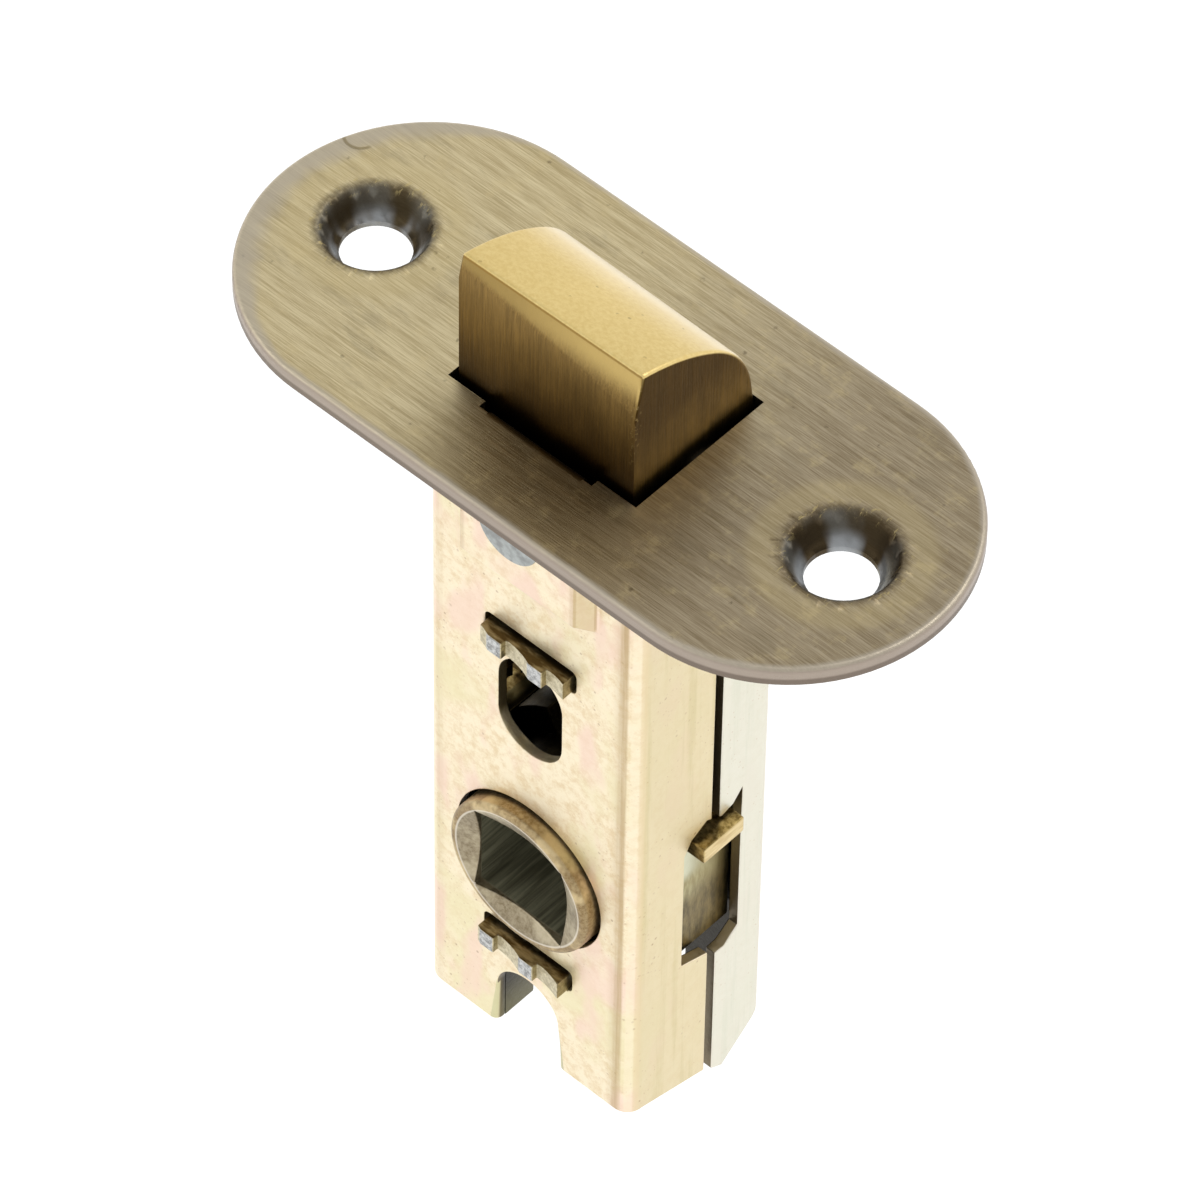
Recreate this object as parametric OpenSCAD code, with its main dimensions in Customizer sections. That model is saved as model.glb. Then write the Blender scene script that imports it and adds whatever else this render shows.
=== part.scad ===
// Tubular mortice latch: a folded steel case behind a round-ended forend, with a sprung
// latch bolt that a square-holed follower draws back.
// Origin: centre of the forend's front face. +Z points out of the door edge, X runs along
// the forend and Y along the spindle.

/* [Forend] */
// Length of the forend
plate_l = 57.8; // [52:0.1:70]
// Width of the forend
plate_w = 26.3; // [24:0.1:32]
// Thickness of the forend sheet
plate_t = 1.4; // [1:0.1:2]
// Rounding along the front edge of the forend
plate_edge_r = 0.4; // [0.2:0.05:0.6]
// Distance between the two screw holes
screw_spacing = 41.5; // [38:0.1:44]
// Radius of a screw hole
screw_r = 2.5; // [2:0.05:2.6]
// Radius of the pressed countersink at the face
dimple_r = 4.3; // [4:0.05:4.8]
// Depth from the face to the edge of the screw hole
dimple_depth = 2.2; // [1.8:0.05:2.6]
// Radius of the soft roll from the face into the countersink
dimple_lip = 0.8; // [0.4:0.05:1]
// Width of the steeper ring at the countersink's mouth
dimple_step = 0.75; // [0.5:0.05:0.9]
// Thickness of the metal round the hole, and how far it reaches past the countersink
dimple_wall = 1.2; // [0.8:0.05:1.4]
// Length of a leg that is folded down beside the bolt
leg_l = 11.6; // [10.8:0.1:11.8]
// Width of a leg
leg_w = 8.4; // [7:0.1:8.8]
// Inner radius of the fold at the top of a leg
leg_fold_r = 0.9; // [0.5:0.1:1.2]
// Width of the relief cut beside a leg
relief_w = 0.8; // [0.6:0.1:1.4]
// How far that relief cut runs past the bolt's opening
relief_l = 0.6; // [0.4:0.1:0.8]

/* [Latch bolt] */
// Width of the bolt along the forend
bolt_w = 15.5; // [14.5:0.1:16]
// How far the bolt stands out of the forend
bolt_out = 11.4; // [11.3:0.1:12.4]
// Radius of the bolt's sloped face
slope_r = 19.3; // [17:0.1:22]
// Fall of the slope where it starts, in degrees
slope_start = 13.8; // [10:0.1:18]
// How far the ground slope is out of true along the bolt, in degrees
slope_tilt = 1.4; // [0:0.1:2]
// Distance of the nose ridge from the bolt's flat side
nose_in = 0.8; // [0.6:0.05:1]
// Radius of the shoulder at the foot of the slope
shoulder_r = 9.7; // [9.5:0.1:10.5]
// Height of the nose bevel on the flat side, at its deep end
nose_h = 3.2; // [1.5:0.1:4]
// How much lower the nose bevel is at its other end
nose_taper = 2.5; // [0:0.1:3]
// Lean of the nose bevel, in degrees
nose_lean = 13; // [8:0.5:18]
// Length of the bolt behind the forend's face
bolt_in = 7.2; // [6.6:0.1:7.6]
// Depth below the face where the bolt is thinned for the retractor plates
tongue_z = 1.9; // [1.6:0.1:2.4]
// Radius of the spring bore in the back of the bolt
spring_bore_r = 3.4; // [3.2:0.05:3.5]
// Depth of the spring bore
spring_bore_depth = 10.2; // [9:0.1:10.4]
// Gap between the bolt and what it slides in, on its wide sides
bolt_gap = 0.4; // [0.3:0.05:0.6]
// How far the follower draws the bolt back
throw = 11.2; // [10.9:0.05:11.2]

/* [Case] */
// Width of the case along the forend
case_w = 19.4; // [19:0.1:20]
// Thickness of the case
case_d = 14.2; // [14:0.1:14.6]
// Thickness of the case sheet
sheet_t = 0.9; // [0.8:0.05:0.95]
// Outer radius of the case folds
fold_r = 1.4; // [1.1:0.05:2]
// Depth from the forend's face to the end of the wide faces
case_l = 64.3; // [63.8:0.1:68]
// Place of the seam across the narrow faces
seam_y = 1.2; // [0.4:0.1:1.6]
// Gap between the two shells at the seam
seam_gap = 0.8; // [0.3:0.1:1]
// How far the narrow faces reach past the wide ones
tongue_l = 3.2; // [2:0.1:4]
// How far the raised panel stands out over the legs
panel_h = 1.42; // [1.3:0.02:1.6]
// Half width of the raised panel at its top
panel_half_w = 5.1; // [5:0.05:5.6]
// Run of the panel's sloping sides
panel_run = 1; // [0.6:0.05:1.2]
// Depth from the face to the lower edge of the raised panel
panel_z = 12.9; // [12.6:0.1:13.6]
// Radius of a leg rivet's head
rivet_head_r = 2.65; // [2.3:0.05:3]
// Height of a leg rivet's head
rivet_head_h = 0.3; // [0.2:0.05:0.5]
// Radius of a leg rivet's shank
rivet_r = 1.6; // [1.2:0.05:1.8]
// Sideways place of the leg rivets
rivet_x = -0.6; // [-1:0.1:1]
// Depth of the leg rivets below the face
rivet_z = 7.6; // [6.5:0.1:8]

/* [Fixing slots] */
// Radius of the slots for the furniture's bolts
through_r = 2.9; // [2.6:0.05:3.2]
// Nearer slot centre, measured from the spindle
through_near = 15.5; // [15.2:0.1:16]
// Farther slot centre, measured from the spindle
through_far = 19; // [18.6:0.1:19.3]

/* [Follower] */
// Distance from the forend's face to the spindle
backset = 44.4; // [44.2:0.1:44.6]
// Side of the square spindle hole
square_w = 8.1; // [7.9:0.05:8.2]
// Radius of the follower's two bosses
boss_r = 6.4; // [6.3:0.05:6.45]
// How far the bosses stand out of the case
boss_out = 1.2; // [0.6:0.05:1.6]
// Gap between a boss and its hole in the case
boss_gap = 0.3; // [0.2:0.05:0.4]
// Rounding of the boss rim
boss_edge_r = 0.45; // [0.2:0.05:0.5]
// Depth of the round lead-in to the square hole
lead_depth = 0.65; // [0.4:0.05:0.8]
// Radius of the follower's body
hub_r = 7; // [6.9:0.05:7]
// Radius that the cam noses reach
nose_r = 9.3; // [9.2:0.05:9.4]
// Width of the cam noses along the spindle
nose_w = 3.4; // [3:0.1:3.6]
// Angle of a nose's lower face above the middle, at rest
nose_angle = 41; // [40.5:0.1:42]
// Angle that a nose takes up
nose_span = 22; // [18:1:24]
// Place of the cam noses, slots and lugs along the spindle
cam_y = 1; // [0.8:0.1:1.1]

/* [Retractor] */
// Thickness of the retractor plates
strap_t = 1.4; // [1.2:0.05:1.4]
// Thickness of the cross bars
bar_t = 1.5; // [1.3:0.05:1.6]
// Inner edge of a cross bar
bar_in = 7.3; // [7.3:0.05:7.35]
// Thickness of the sheet below a cross bar, next to the slot
skirt_t = 1.1; // [0.8:0.05:1.1]
// Length of that sheet
skirt_l = 12.2; // [11.8:0.1:12.4]
// How far a cross bar's lug stands out of the case
lug_out = 1; // [0.6:0.1:1.2]
// Width of a lug
lug_w = 4.1; // [3.8:0.1:4.4]
// Depth from the face to the top of the cross bars
bar_z = 38.7; // [38.6:0.05:38.9]
// Length of a leg below its cross bar
strap_tail = 1.4; // [1:0.1:1.4]
// Radius of the two bolt pins
pin_r = 1; // [0.8:0.05:1.1]
// Width of the slot in the narrow faces
slot_w = 5.8; // [5.6:0.1:6]
// Depth from the face to the top of that slot
slot_z = 37.5; // [37.2:0.1:37.8]
// Length of that slot
slot_l = 15; // [14.8:0.1:15.4]

/* [Spacers] */
// Thickness of the two spacers
spacer_t = 1.7; // [1.5:0.05:1.7]
// Depth from the face to the front spacer
spacer1_z = 20.3; // [20.2:0.05:20.4]
// Depth from the face to the rear spacer
spacer2_z = 53; // [52.9:0.1:53.4]
// Width of a staked tab
tab_w = 7.6; // [7.4:0.1:8]
// How far the staked tabs stand out of the case
tab_out = 1.2; // [0.8:0.1:1.4]
// Width of a tooth left between the staking scoops
tooth_w = 1.2; // [1:0.1:1.4]
// Distance from tooth to tooth
tooth_pitch = 3.7; // [3.4:0.1:3.9]
// Sideways place of the front spacer's middle scoop
tooth1_x = -0.35; // [-1:0.05:1]
// Sideways place of the rear spacer's middle scoop
tooth2_x = -0.95; // [-1:0.05:1]
// Depth of a scoop
scoop = 0.5; // [0.3:0.05:0.6]
// Gap above a tab in its slot
tab_gap = 0.4; // [0.2:0.05:0.5]
// Gap beside a tab in its slot, each end
tab_side_gap = 0.35; // [0.3:0.05:0.5]

/* [Spring] */
// Outer radius of the bolt spring
coil_r = 3.1; // [2.8:0.05:3.15]
// Thickness of the spring wire
wire = 0.8; // [0.6:0.05:0.85]
// Turns of the spring
turns = 11; // [8:1:12]
// Radius of the spring's guide pin
guide_r = 1.5; // [1.2:0.05:1.7]
// Length of the guide pin above its flange
guide_l = 8.6; // [6:0.1:9]
// Thickness of the guide's flange
flange_t = 0.6; // [0.5:0.05:0.8]

/* [Hidden] */
$fn = 64;
eps = 0.01;
inner_w = case_w / 2 - sheet_t;
inner_d = case_d / 2 - sheet_t;
bolt_d = 2 * (inner_d - bolt_gap);
panel_in = inner_d + panel_h;
panel_out = case_d / 2 + panel_h;
leg_in = panel_in - plate_t;
open_w = bolt_w / 2 + bolt_gap + 0.2;
open_d = inner_d;
side_r = shoulder_r - 0.05;
strap_in = bolt_d / 2 - 0.1 - strap_t;
strap_out = strap_in + strap_t;
window_w = boss_r + boss_gap + 0.05;
strap_half = inner_w - 0.3;
tongue_d = strap_in;
web_z = spacer1_z - throw - 0.2;
screw_window = tab_w / 2 + 0.3;
boss_end = case_d / 2 + boss_out;
spring_top = -bolt_in + spring_bore_depth;
spring_seat = -spacer1_z + flange_t;
spring_l = spring_top - spring_seat;
pin_x = (spring_bore_r + bolt_w / 2) / 2 + 0.35;
pin_z = (tongue_z + bolt_in) / 2;
end_z = case_l + tongue_l;

// A box from two opposite corners
module block(low, high) {
    translate(low) cube(high - low);
}

// A flat outline drawn in Y and Z, carried along X between two places
module along_x(x0, x1) {
    translate([x0, 0, 0]) rotate([90, 0, 90]) linear_extrude(height = x1 - x0) children();
}

// A round bar along Y
module bar_y(x, z, r, y0, y1) {
    translate([x, y1, z]) rotate([90, 0, 0]) cylinder(h = y1 - y0, r = r);
}

// A rectangle with round corners, by its half sizes
module round_rect(hx, hy, r) {
    square([2 * (hx - r), 2 * hy], center = true);
    square([2 * hx, 2 * (hy - r)], center = true);
    for (sx = [-1, 1], sy = [-1, 1])
        translate([sx * (hx - r), sy * (hy - r)]) circle(r = r);
}

// Half outline of the rounded forend edge, from the middle out
module edge_outline(half) {
    difference() {
        translate([0, -plate_t]) square([half, plate_t]);
        translate([half - plate_edge_r, -plate_edge_r]) square([plate_edge_r + eps, plate_edge_r + eps]);
    }
    translate([half - plate_edge_r, -plate_edge_r]) circle(r = plate_edge_r);
}

// The forend's round-ended sheet
module plate_blank() {
    straight = (plate_l - plate_w) / 2;
    for (s = [-1, 1])
        translate([s * straight, 0, 0]) rotate_extrude() edge_outline(plate_w / 2);
    translate([-straight, 0, 0])
        rotate([90, 0, 90])
            linear_extrude(height = 2 * straight) {
                edge_outline(plate_w / 2);
                mirror([1, 0]) edge_outline(plate_w / 2);
            }
}

// The metal pushed down round one screw hole
module dimple_solid() {
    foot = dimple_r + dimple_wall;
    rim = screw_r + dimple_wall;
    bottom = dimple_depth + 0.45;
    rotate_extrude()
        polygon([[screw_r, -plate_t / 2], [foot, -plate_t / 2], [foot, -plate_t],
                 [dimple_r + 0.2, -plate_t - 0.25], [rim, -bottom], [screw_r, -bottom]]);
}

// The space of one pressed countersink and its screw hole
module dimple_space() {
    step_h = 0.6 * dimple_step;
    toe = 0.3;
    rotate_extrude() {
        polygon([[0, eps], [dimple_r, eps], [dimple_r, 0], [dimple_r - dimple_step, -step_h],
                 [screw_r + toe, -dimple_depth + toe], [screw_r, -dimple_depth], [screw_r, -plate_t * 3],
                 [0, -plate_t * 3]]);
        difference() {
            translate([dimple_r - 0.1, -dimple_lip]) square([dimple_lip, dimple_lip + eps]);
            translate([dimple_r + dimple_lip - 0.1, -dimple_lip]) circle(r = dimple_lip);
        }
    }
}

// A leg folded down from the forend, on the side given by s
module leg(s) {
    y0 = s > 0 ? leg_in : -panel_in;
    difference() {
        block([-leg_w / 2, y0, -leg_l], [leg_w / 2, y0 + plate_t, 0]);
        difference() {
            block([-leg_w, s * leg_in - leg_fold_r, -leg_fold_r], [leg_w, s * leg_in + leg_fold_r, eps]);
            along_x(-leg_w, leg_w)
                translate([s * (leg_in + leg_fold_r), -leg_fold_r]) circle(r = leg_fold_r);
        }
        bar_y(rivet_x, -rivet_z, rivet_r, -panel_out, panel_out);
    }
}

// Round-ended forend with pressed screw holes, the bolt's opening and two folded legs
module forend_plate() {
    color("#a8996e") {
        difference() {
            union() {
                plate_blank();
                for (s = [-1, 1]) translate([s * screw_spacing / 2, 0, 0]) dimple_solid();
            }
            for (s = [-1, 1]) translate([s * screw_spacing / 2, 0, 0]) dimple_space();
            block([-open_w, -open_d, -plate_t * 2], [open_w, open_d, plate_t]);
            block([-leg_w / 2 - relief_w, -open_d - relief_l, -plate_t * 2],
                  [leg_w / 2 + relief_w, open_d + relief_l, plate_t]);
            block([-leg_w / 2, -panel_in, -plate_t * 2], [leg_w / 2, panel_in, plate_t]);
        }
        for (s = [-1, 1]) leg(s);
    }
}

// The raised panel over the legs, on both wide faces, drawn in or out by a wall
module panel(wall) {
    half = panel_half_w - wall * 0.6;
    foot = half + panel_run;
    low = -panel_z + wall * 0.6;
    top = panel_out - wall;
    base = case_d / 2 - wall;
    intersection() {
        translate([0, 0, low - panel_run])
            linear_extrude(height = -low + panel_run - plate_t)
                polygon([[-foot, -base], [-half, -top], [half, -top], [foot, -base],
                         [foot, base], [half, top], [-half, top], [-foot, base]]);
        along_x(-foot, foot)
            polygon([[-base, low - panel_run], [-top, low], [-top, 0], [top, 0], [top, low],
                     [base, low - panel_run]]);
    }
}

// Outline in Y and Z of the case's narrow faces, with their longer ends
module case_side_outline() {
    half = case_d / 2;
    near_y = seam_y - seam_gap / 2;
    far_y = seam_y + 1.5;
    polygon([[-half - panel_h, -plate_t], [-half - panel_h, -case_l], [-half + fold_r, -case_l],
             [near_y, -case_l - tongue_l * 0.6], [seam_y + seam_gap / 2, -case_l - tongue_l * 0.8],
             [far_y, -end_z], [half - fold_r + 0.3, -case_l - 0.5], [half, -case_l],
             [half + panel_h, -case_l], [half + panel_h, -plate_t]]);
}

// Openings in the narrow faces that the retractor lugs run in
module lug_slot() {
    y0 = cam_y - slot_w / 2;
    y1 = cam_y + slot_w / 2;
    low = -slot_z - slot_l;
    along_x(-case_w, case_w)
        polygon([[y0, low + 0.8], [y0, -slot_z - 2], [y0 + 0.7, -slot_z - 0.8], [seam_y - 0.9, -slot_z],
                 [seam_y + 0.6, -slot_z - 0.9], [y1 - 0.9, -slot_z - 0.6], [y1, -slot_z + 0.4],
                 [y1, low], [y1 - 1.4, low - 1], [seam_y, low - 1], [seam_y - seam_gap / 2, low - 0.2]]);
}

// An opening in the wide faces that a spacer's tab is pushed through
module tab_slot(z) {
    translate([0, case_d, -z + (tab_gap - spacer_t) / 2])
        rotate([90, 0, 0])
            linear_extrude(height = 2 * case_d)
                round_rect(tab_w / 2 + tab_side_gap, (spacer_t + tab_gap) / 2 + 0.05, 0.5);
}

// A round-ended slot for the furniture's bolts, between two depths
module through_slot(z0, z1) {
    block([-through_r, -case_d, -z1], [through_r, case_d, -z0]);
    for (z = [z0, z1]) bar_y(0, -z, through_r, -case_d, case_d);
}

// Both shells as one folded tube with all its openings
module case_tube() {
    difference() {
        intersection() {
            union() {
                translate([0, 0, -end_z])
                    linear_extrude(height = end_z - plate_t) round_rect(case_w / 2, case_d / 2, fold_r);
                panel(0);
            }
            along_x(-case_w, case_w) case_side_outline();
        }
        translate([0, 0, -end_z - 1])
            linear_extrude(height = end_z + 1) round_rect(inner_w, inner_d, fold_r - sheet_t + 0.15);
        panel(sheet_t);
        for (z = [spacer1_z, spacer2_z]) tab_slot(z);
        through_slot(backset - through_far, backset - through_near);
        through_slot(backset + through_near, end_z);
        bar_y(0, -backset, boss_r + boss_gap, -case_d, case_d);
        bar_y(rivet_x, -rivet_z, rivet_r, -case_d, case_d);
        lug_slot();
    }
}

// Deeper folded shell that shows on the handle side
module case_front_shell() {
    color("#e9dcae")
        intersection() {
            case_tube();
            block([-case_w, -case_d, -end_z - 1], [case_w, seam_y - seam_gap / 2, 0]);
        }
}

// Shallower folded shell that closes the other side
module case_rear_shell() {
    color("#e6e0cf")
        intersection() {
            case_tube();
            block([-case_w, seam_y + seam_gap / 2, -end_z - 1], [case_w, case_d, 0]);
        }
}

// A rivet through a shell's raised panel and a leg, on the side given by s
module leg_rivet(s) {
    shank = [leg_in, panel_out];
    y0 = s > 0 ? shank[0] : -shank[1];
    color("#b4b8b4") {
        bar_y(rivet_x, -rivet_z, rivet_r, y0, y0 + shank[1] - shank[0]);
        head_y = s > 0 ? panel_out : -panel_out - rivet_head_h;
        bar_y(rivet_x, -rivet_z, rivet_head_r, head_y, head_y + rivet_head_h);
    }
}

module leg_rivet_front() {
    leg_rivet(-1);
}

module leg_rivet_rear() {
    leg_rivet(1);
}

// Outline of a spacer: the plate between the shells and its two staked tabs, whose ends
// are scooped from a sharp step up to the next tooth
module spacer_outline(body_x, body_y, middle) {
    reach = case_d / 2 + tab_out;
    run = tooth_pitch - tooth_w;
    bite = (run * run + scoop * scoop) / (2 * scoop);
    difference() {
        union() {
            round_rect(body_x, body_y, fold_r - sheet_t + 0.2);
            square([tab_w, 2 * reach], center = true);
        }
        for (s = [-1, 1], step = [-1, 0, 1])
            translate([middle - run / 2 + step * tooth_pitch, s * (reach - scoop)])
                intersection() {
                    translate([0, s * bite]) circle(r = bite);
                    translate([0, s > 0 ? -eps : -2 * scoop + eps]) square([2 * run, 2 * scoop]);
                }
    }
}

// Plate across the case that the spring pushes against, its tabs staked over both shells
module front_spacer() {
    color("#8d8a80")
        translate([0, 0, -spacer1_z - spacer_t])
            linear_extrude(height = spacer_t)
                difference() {
                    spacer_outline(inner_w - 0.1, strap_in - 0.2, tooth1_x);
                    circle(r = guide_r - 0.3);
                }
}

// Plate across the case below the follower, which also stops the retractor
module rear_spacer() {
    color("#8d8a80")
        translate([0, 0, -spacer2_z - spacer_t])
            linear_extrude(height = spacer_t)
                spacer_outline(strap_half - skirt_t - 0.3, inner_d - 0.1, tooth2_x);
}

// Flanged pin riveted into the front spacer, which keeps the spring straight
module spring_guide() {
    color("#9a9c9c")
        translate([0, 0, -spacer1_z])
            rotate_extrude()
                polygon([[0, -spacer_t - 0.4], [guide_r, -spacer_t - 0.4], [guide_r, -spacer_t],
                         [guide_r - 0.3, -spacer_t], [guide_r - 0.3, 0], [spring_bore_r - 0.1, 0],
                         [spring_bore_r - 0.1, flange_t], [guide_r, flange_t],
                         [guide_r, flange_t + guide_l - 0.5], [guide_r - 0.5, flange_t + guide_l],
                         [0, flange_t + guide_l]]);
}

// Wire section of the spring at a share t of its length, closed flat at both ends
function coil_point(t, a, r) =
    let (turn = 360 * turns * t,
         flat = 1 / turns,
         rise = t < flat ? 0.35 * t / flat * flat : t > 1 - flat ? 1 - 0.35 * flat * (1 - t) / flat
              : 0.35 * flat + (1 - 0.7 * flat) * (t - flat) / (1 - 2 * flat),
         z = spring_seat + wire / 2 + (spring_l - wire) * rise,
         mid = coil_r - wire / 2)
    [(mid + r * cos(a)) * cos(turn), (mid + r * cos(a)) * sin(turn), z + r * sin(a)];

// Coil spring that pushes the bolt out
module bolt_spring() {
    rings = turns * 20;
    sides = 8;
    points = [for (i = [0:rings], j = [0:sides - 1]) coil_point(i / rings, 360 * j / sides, wire / 2)];
    walls = [for (i = [0:rings - 1], j = [0:sides - 1])
        [i * sides + j, (i + 1) * sides + j, (i + 1) * sides + (j + 1) % sides, i * sides + (j + 1) % sides]];
    start = [for (j = [0:sides - 1]) j];
    finish = [for (j = [sides - 1:-1:0]) rings * sides + j];
    color("#8f9193")
        polyhedron(points = points, faces = concat(walls, [start, finish]), convexity = 20);
}

// Outline in Y and Z of the ground slope, which runs smoothly into its round shoulder
module slope_outline() {
    half = bolt_d / 2;
    depth = bolt_in + slope_r;
    slope_y = nose_in - half - slope_r * sin(slope_start);
    slope_z = bolt_out - slope_r * cos(slope_start);
    shoulder_y = half - side_r;
    apart = slope_r - shoulder_r;
    share = (shoulder_y - slope_y) / apart;
    shoulder_z = slope_z + apart * sqrt(1 - share * share);
    intersection() {
        translate([-half, -depth]) square([bolt_d, 2 * depth]);
        union() {
            translate([shoulder_y, shoulder_z]) circle(r = shoulder_r);
            translate([-half, -depth]) square([bolt_d, depth + shoulder_z]);
            translate([-half, 0]) square([half + slope_y + slope_r * share, depth]);
        }
        union() {
            translate([slope_y, slope_z]) circle(r = slope_r);
            translate([-half, -depth]) square([bolt_d, depth - bolt_in]);
        }
    }
}

// Solid latch bolt, thinned at the back for the retractor plates and bored for the spring
module latch_bolt() {
    half = bolt_d / 2;
    color("#b08d45")
        difference() {
            intersection() {
                block([-bolt_w / 2, -half, -bolt_in], [bolt_w / 2, half, bolt_out + 1]);
                translate([bolt_w / 2, 0, 0])
                    rotate([0, slope_tilt, 0])
                        along_x(-1.5 * bolt_w, bolt_w) slope_outline();
            }
            translate([bolt_w / 2, -half, bolt_out - nose_h])
                rotate([0, atan(nose_taper / bolt_w), 0])
                    rotate([-nose_lean, 0, 0])
                        translate([-2 * bolt_w, -bolt_d, 0]) cube([3 * bolt_w, bolt_d, bolt_out]);
            for (s = [-1, 1])
                translate([0, s * (tongue_d + bolt_d), -bolt_in])
                    cube([bolt_w + 1, 2 * bolt_d, 2 * (bolt_in - tongue_z)], center = true);
            translate([0, 0, -bolt_in - 1]) cylinder(h = spring_bore_depth + 1, r = spring_bore_r);
            for (s = [-1, 1]) bar_y(s * pin_x, -pin_z, pin_r, -bolt_d, bolt_d);
        }
}

// Outline in X and Z of a retractor plate: a web on the bolt and two long legs
module retractor_outline() {
    web_half = bolt_w / 2;
    wide_z = backset - window_w - throw - 0.5;
    end = bar_z + bar_t + strap_tail;
    difference() {
        union() {
            translate([-web_half, -wide_z]) square([2 * web_half, wide_z - tongue_z - 0.05]);
            translate([-strap_half, -end]) square([2 * strap_half, end - spacer1_z - spacer_t - 1]);
        }
        translate([-screw_window, -wide_z - 1]) square([2 * screw_window, wide_z + 1 - web_z]);
        translate([-window_w, -end - 1]) square([2 * window_w, end + 1 - wide_z - window_w]);
        translate([0, -wide_z - window_w]) circle(r = window_w);
        for (s = [-1, 1]) {
            translate([s * pin_x, -pin_z]) circle(r = pin_r);
            translate([s > 0 ? bar_in : -bar_in - 3, -bar_z - bar_t]) square([3, bar_t]);
        }
    }
}

// A retractor plate on the side given by s
module retractor_plate(s) {
    y0 = s > 0 ? strap_in : -strap_out;
    color("#cdbb83")
        translate([0, y0 + strap_t, 0])
            rotate([90, 0, 0]) linear_extrude(height = strap_t) retractor_outline();
}

module retractor_plate_front() {
    retractor_plate(-1);
}

module retractor_plate_rear() {
    retractor_plate(1);
}

// Side of the retractor: a cross bar between its plates, the lug that a cam nose presses on,
// bent out through the case's slot, and the sheet that covers the slot from inside
module retractor_bar(s) {
    color("#b99a5a")
        mirror([s > 0 ? 0 : 1, 0, 0]) {
            block([bar_in, -strap_out, -bar_z - bar_t], [strap_half, strap_out, -bar_z]);
            block([strap_half - eps, cam_y - lug_w / 2, -bar_z - bar_t],
                  [case_w / 2 + lug_out, cam_y + lug_w / 2, -bar_z]);
            block([strap_half - skirt_t, -strap_in + 0.1, -bar_z - bar_t - skirt_l],
                  [strap_half, strap_in - 0.1, -bar_z - bar_t + eps]);
        }
}

module retractor_bar_right() {
    retractor_bar(1);
}

module retractor_bar_left() {
    retractor_bar(-1);
}

// Pin that holds both retractor plates to the bolt
module bolt_pin(s) {
    color("#a4a6a6") bar_y(s * pin_x, -pin_z, pin_r, -strap_out, strap_out);
}

module bolt_pin_right() {
    bolt_pin(1);
}

module bolt_pin_left() {
    bolt_pin(-1);
}

// Section of the follower along the spindle, from its middle out to one boss face
module boss_outline() {
    translate([0, -boss_end]) square([boss_r - boss_edge_r, 2 * boss_end]);
    translate([0, -boss_end + boss_edge_r]) square([boss_r, 2 * (boss_end - boss_edge_r)]);
    for (s = [-1, 1]) translate([boss_r - boss_edge_r, s * (boss_end - boss_edge_r)]) circle(r = boss_edge_r);
    translate([0, -strap_in + 0.2]) square([hub_r, 2 * (strap_in - 0.2)]);
}

// Round lead-in at both mouths of the square hole
module lead_in() {
    mouth = square_w / sqrt(2);
    small = square_w / 2;
    rotate_extrude()
        for (s = [-1, 1])
            polygon([[0, s * (boss_end + eps)], [mouth, s * (boss_end + eps)], [mouth, s * boss_end],
                     [small, s * (boss_end - lead_depth)], [0, s * (boss_end - lead_depth)]]);
}

// One cam nose, as a flat sector between two angles
module nose_sector(from, to) {
    intersection() {
        difference() {
            circle(r = nose_r);
            circle(r = hub_r - 0.5);
        }
        polygon([[0, 0], 2 * nose_r * [cos(from), sin(from)],
                 2 * nose_r * [cos((from + to) / 2), sin((from + to) / 2)], 2 * nose_r * [cos(to), sin(to)]]);
    }
}

// Follower: two bosses turning in the shells, a square hole and two cam noses
module follower_hub() {
    color("#a19a86")
        translate([0, 0, -backset])
            difference() {
                union() {
                    rotate([90, 0, 0]) rotate_extrude() boss_outline();
                    translate([0, cam_y + nose_w / 2, 0])
                        rotate([90, 0, 0])
                            linear_extrude(height = nose_w) {
                                nose_sector(nose_angle, nose_angle + nose_span);
                                nose_sector(180 - nose_angle - nose_span, 180 - nose_angle);
                            }
                }
                block([-square_w / 2, -case_d, -square_w / 2], [square_w / 2, case_d, square_w / 2]);
                rotate([90, 0, 0]) lead_in();
            }
}

forend_plate();
case_front_shell();
case_rear_shell();
leg_rivet_front();
leg_rivet_rear();
front_spacer();
rear_spacer();
spring_guide();
bolt_spring();
latch_bolt();
retractor_plate_front();
retractor_plate_rear();
retractor_bar_right();
retractor_bar_left();
bolt_pin_right();
bolt_pin_left();
follower_hub();
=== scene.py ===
"""Looks of a tubular mortice latch: softened metal pieces, finishes, floor, lights and camera.

Lengths in this script are in millimetres and turn into metres through MM. The row frame is
the CAD's: X along the forend, Y along the spindle, Z out of the door edge.
"""

import logging
import math
from dataclasses import dataclass
from enum import Enum

import bmesh
import bpy
from mathutils import Matrix, Vector


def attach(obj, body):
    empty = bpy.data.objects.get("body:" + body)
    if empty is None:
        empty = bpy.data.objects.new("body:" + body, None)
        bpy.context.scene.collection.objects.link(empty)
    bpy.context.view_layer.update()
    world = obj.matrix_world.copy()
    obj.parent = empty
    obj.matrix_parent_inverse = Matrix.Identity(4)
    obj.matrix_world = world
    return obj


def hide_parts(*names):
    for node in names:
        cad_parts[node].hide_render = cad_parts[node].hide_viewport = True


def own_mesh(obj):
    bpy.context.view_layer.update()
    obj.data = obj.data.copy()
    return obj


MM = 0.001
LOG = logging.getLogger("latch")

# Measures of the CAD: the forend's screw holes and round ends, the spindle's axis, and the middles
# of the case's side and face sheets
SCREW_X = 20.75
END_X = 15.75
PLATE_R = 13.15
SPINDLE_Z = -44.4
SIDE_SHEET_X = 9.25
FACE_SHEET_Y = 6.65

# Limits of the ring round each pressed screw hole that roll_dimples makes anew
LIP_IN = 3.5
LIP_OUT = 5.06
LIP_LOW = -0.86
RING_CUTS = 5

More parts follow.
